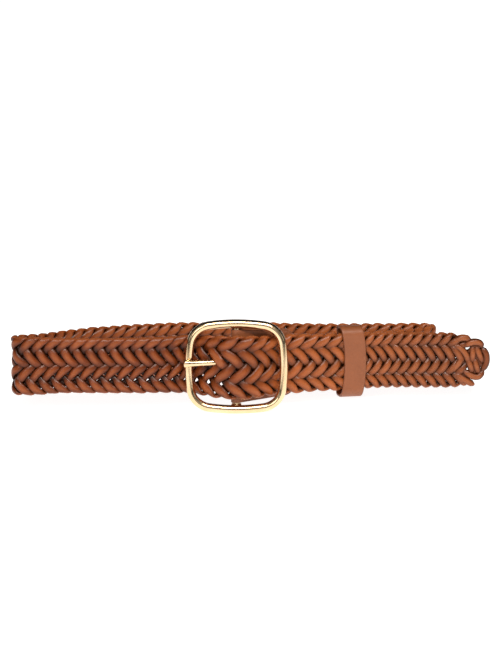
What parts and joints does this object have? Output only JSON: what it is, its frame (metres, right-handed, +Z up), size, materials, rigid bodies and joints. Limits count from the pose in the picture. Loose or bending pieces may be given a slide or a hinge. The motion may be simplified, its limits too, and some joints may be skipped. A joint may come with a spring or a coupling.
{
  "type": "braided leather belt",
  "caption": "Plaited leather belt closed in a flattened loop, with a rounded metal frame buckle, single prong, folded leather tab and sliding leather keeper.",
  "frame": {"origin": "on the ground, under the centre of the standing belt's bounding box", "axes": "+Z up, across the strap's width but for the loop's backward lean; +X along the belt towards the free tip; -Y faces the viewer of the buckle"},
  "size_m": [0.3202, 0.087, 0.0627],
  "materials": {
    "plaited_leather": "semi-gloss, cognac brown",
    "smooth_leather": "satin, light cognac brown",
    "gilt_metal": "polished pale gold plating",
    "thread": "matt waxed thread",
    "binding_tape": "matt woven tape"
  },
  "bodies": {
    "strap": {"thong_1": "plaited_leather", "thong_2": "plaited_leather", "thong_3": "plaited_leather", "thong_4": "plaited_leather", "thong_5": "plaited_leather", "thong_6": "plaited_leather", "thong_7": "plaited_leather", "thong_8": "plaited_leather", "thong_9": "plaited_leather", "chape": "smooth_leather", "chape_stitching": "thread", "end_binding": "binding_tape"},
    "buckle": {"buckle_frame": "gilt_metal", "centre_bar": "gilt_metal"},
    "prong": {"prong": "gilt_metal"},
    "keeper": {"keeper_loop": "smooth_leather", "keeper_stitches": "thread"}
  },
  "joints": [
    {"name": "buckle_hinge", "type": "hinge", "parent": "strap", "child": "buckle", "pos_m": [-0.00995, -0.02991, 0.03085], "axis": [0, 0.16, 0.9871], "range_deg": [-2.5, 2.5]},
    {"name": "prong_hinge", "type": "hinge", "parent": "buckle", "child": "prong", "pos_m": [-0.00995, -0.02943, 0.03381], "axis": [0, 0.16, 0.9871], "range_deg": [0, 10]},
    {"name": "keeper_slide", "type": "slide", "parent": "strap", "child": "keeper", "axis": [0.9744, 0.2221, -0.036], "range_m": [-0.013, 0.015]}
  ]
}
